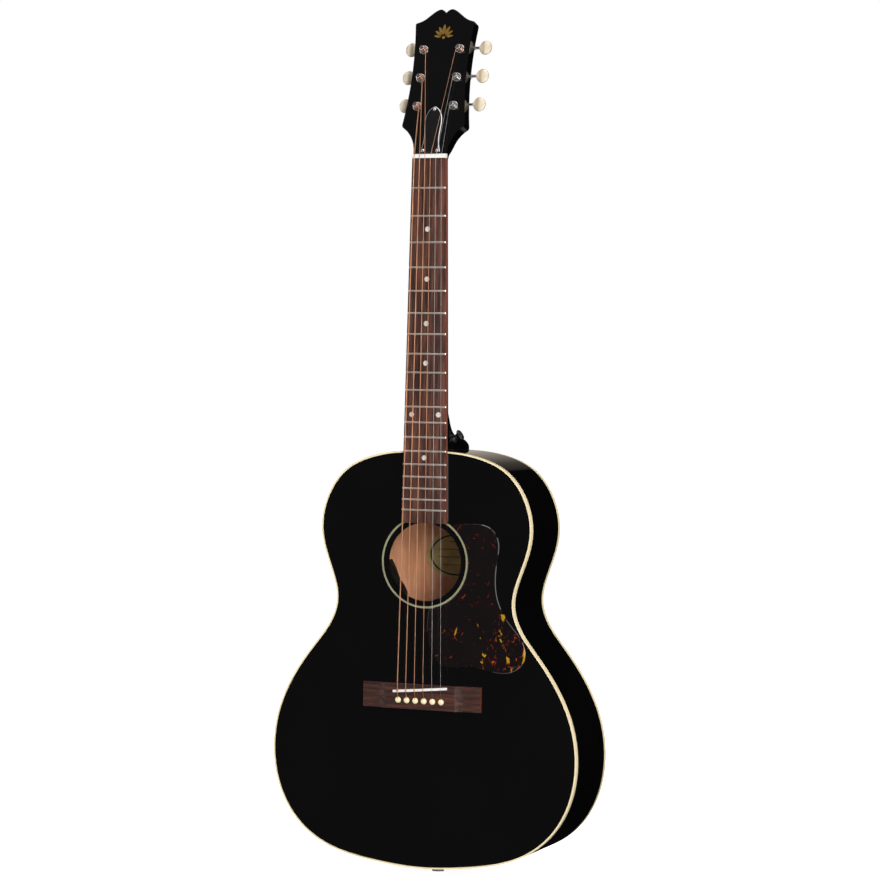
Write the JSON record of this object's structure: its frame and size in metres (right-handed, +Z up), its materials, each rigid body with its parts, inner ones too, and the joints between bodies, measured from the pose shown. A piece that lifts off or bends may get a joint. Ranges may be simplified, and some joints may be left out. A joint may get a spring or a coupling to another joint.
{
  "type": "acoustic guitar",
  "caption": "Small-bodied steel-string acoustic guitar in gloss black with cream binding, geared tuners, tortoise pickguard and a soundhole control unit.",
  "frame": {"origin": "on the neck's centre line at the front edge of the nut, level with the soundboard's face, where a wall hanger's yoke carries the neck", "axes": "+Z up the neck towards the headstock, +Y from the soundboard into the body, +X towards the treble side"},
  "size_m": [0.3918, 0.128, 1.0432],
  "materials": {
    "black_lacquer": "high-gloss black lacquer over wood",
    "cream_binding": "cream plastic binding under clear gloss",
    "ring_cream": "aged cream inlay",
    "rosewood": "open-grained rosewood, lightly oiled",
    "spruce": "bare spruce, sanded",
    "mahogany": "bare mahogany, sanded",
    "bone": "polished bone",
    "pin_ivory": "polished ivory plastic",
    "tortoise": "dark tortoiseshell celluloid",
    "nickel": "bright nickel plate",
    "fret_metal": "polished nickel silver",
    "string_metal": "phosphor bronze winding and plain steel",
    "pearl": "pearl-effect plastic",
    "gold": "gold inlay",
    "paper": "aged paper",
    "black_plastic": "fine-textured black plastic",
    "black_gloss": "polished black plastic",
    "button_ivory": "polished ivory plastic",
    "brass": "machined brass",
    "steel": "plain steel"
  },
  "bodies": {
    "guitar": {"back_binding": "cream_binding", "back_bracing": "spruce", "back_plate": "black_lacquer", "bridge": "rosewood", "bridge_pins": "pin_ivory", "control_housing": "black_plastic", "end_jack": "nickel", "ferrules": "nickel", "fingerboard": "rosewood", "frets": "fret_metal", "headstock_inlay": "gold", "headstock_overlay": "black_lacquer", "linings": "spruce", "neck": "black_lacquer", "neck_block": "mahogany", "nut": "bone", "pickguard": "tortoise", "pickup_strip": "steel", "position_dots": "pearl", "rosette_ring": "ring_cream", "saddle": "bone", "sides": "black_lacquer", "small_screws": "nickel", "soundboard": "black_lacquer", "soundhole_label": "paper", "strap_button": "black_gloss", "strings": "string_metal", "tail_block": "mahogany", "top_binding": "cream_binding", "top_bracing": "spruce", "truss_cover": "black_gloss", "truss_rod": "steel", "tuner_plates": "nickel"},
    "tuner_shaft_1": {"tuner_button_1": "button_ivory", "worm_shaft_1": "nickel"},
    "post_1": {"string_post_1": "nickel", "tuner_gear_1": "brass"},
    "tuner_shaft_2": {"tuner_button_2": "button_ivory", "worm_shaft_2": "nickel"},
    "post_2": {"string_post_2": "nickel", "tuner_gear_2": "brass"},
    "tuner_shaft_3": {"tuner_button_3": "button_ivory", "worm_shaft_3": "nickel"},
    "post_3": {"string_post_3": "nickel", "tuner_gear_3": "brass"},
    "tuner_shaft_4": {"tuner_button_4": "button_ivory", "worm_shaft_4": "nickel"},
    "post_4": {"string_post_4": "nickel", "tuner_gear_4": "brass"},
    "tuner_shaft_5": {"tuner_button_5": "button_ivory", "worm_shaft_5": "nickel"},
    "post_5": {"string_post_5": "nickel", "tuner_gear_5": "brass"},
    "tuner_shaft_6": {"tuner_button_6": "button_ivory", "worm_shaft_6": "nickel"},
    "post_6": {"string_post_6": "nickel", "tuner_gear_6": "brass"},
    "volume_knob": {"volume_wheel": "black_plastic"},
    "tone_knob": {"tone_wheel": "black_plastic"},
    "truss_adjuster": {"truss_rod_nut": "brass"}
  },
  "joints": [
    {"name": "tuner_1_turn", "type": "hinge", "parent": "guitar", "child": "tuner_shaft_1", "pos_m": [-0.0233, 0.03459, 0.0666], "axis": [1, 0, 0], "continuous": true},
    {"name": "post_1_turn", "type": "hinge", "parent": "guitar", "child": "post_1", "pos_m": [-0.0233, 0.01312, 0.06348], "axis": [0, 0.9681, -0.2504], "continuous": true},
    {"name": "tuner_2_turn", "type": "hinge", "parent": "guitar", "child": "tuner_shaft_2", "pos_m": [-0.0233, 0.04358, 0.10136], "axis": [1, 0, 0], "continuous": true},
    {"name": "post_2_turn", "type": "hinge", "parent": "guitar", "child": "post_2", "pos_m": [-0.0233, 0.02211, 0.09823], "axis": [0, 0.9681, -0.2504], "continuous": true},
    {"name": "tuner_3_turn", "type": "hinge", "parent": "guitar", "child": "tuner_shaft_3", "pos_m": [-0.0233, 0.05257, 0.13611], "axis": [1, 0, 0], "continuous": true},
    {"name": "post_3_turn", "type": "hinge", "parent": "guitar", "child": "post_3", "pos_m": [-0.0233, 0.0311, 0.13299], "axis": [0, 0.9681, -0.2504], "continuous": true},
    {"name": "tuner_4_turn", "type": "hinge", "parent": "guitar", "child": "tuner_shaft_4", "pos_m": [0.0233, 0.05257, 0.13611], "axis": [1, 0, 0], "continuous": true},
    {"name": "post_4_turn", "type": "hinge", "parent": "guitar", "child": "post_4", "pos_m": [0.0233, 0.0311, 0.13299], "axis": [0, 0.9681, -0.2504], "continuous": true},
    {"name": "tuner_5_turn", "type": "hinge", "parent": "guitar", "child": "tuner_shaft_5", "pos_m": [0.0233, 0.04358, 0.10136], "axis": [1, 0, 0], "continuous": true},
    {"name": "post_5_turn", "type": "hinge", "parent": "guitar", "child": "post_5", "pos_m": [0.0233, 0.02211, 0.09823], "axis": [0, 0.9681, -0.2504], "continuous": true},
    {"name": "tuner_6_turn", "type": "hinge", "parent": "guitar", "child": "tuner_shaft_6", "pos_m": [0.0233, 0.03459, 0.0666], "axis": [1, 0, 0], "continuous": true},
    {"name": "post_6_turn", "type": "hinge", "parent": "guitar", "child": "post_6", "pos_m": [0.0233, 0.01312, 0.06348], "axis": [0, 0.9681, -0.2504], "continuous": true},
    {"name": "volume_turn", "type": "hinge", "parent": "guitar", "child": "volume_knob", "pos_m": [-0.04787, 0.0069, -0.49343], "axis": [0, 1, 0], "range_deg": [0, 270]},
    {"name": "tone_turn", "type": "hinge", "parent": "guitar", "child": "tone_knob", "pos_m": [-0.03707, 0.0069, -0.51374], "axis": [0, 1, 0], "range_deg": [0, 270]},
    {"name": "truss_nut_turn", "type": "hinge", "parent": "guitar", "child": "truss_adjuster", "pos_m": [0, 0.0054, 0.012], "axis": [0, 0, 1], "range_deg": [-180, 180]}
  ],
  "couplings": [
    {"joint": "post_1_turn", "follows": "tuner_1_turn", "ratio": -0.071429},
    {"joint": "post_2_turn", "follows": "tuner_2_turn", "ratio": -0.071429},
    {"joint": "post_3_turn", "follows": "tuner_3_turn", "ratio": -0.071429},
    {"joint": "post_4_turn", "follows": "tuner_4_turn", "ratio": 0.071429},
    {"joint": "post_5_turn", "follows": "tuner_5_turn", "ratio": 0.071429},
    {"joint": "post_6_turn", "follows": "tuner_6_turn", "ratio": 0.071429}
  ]
}
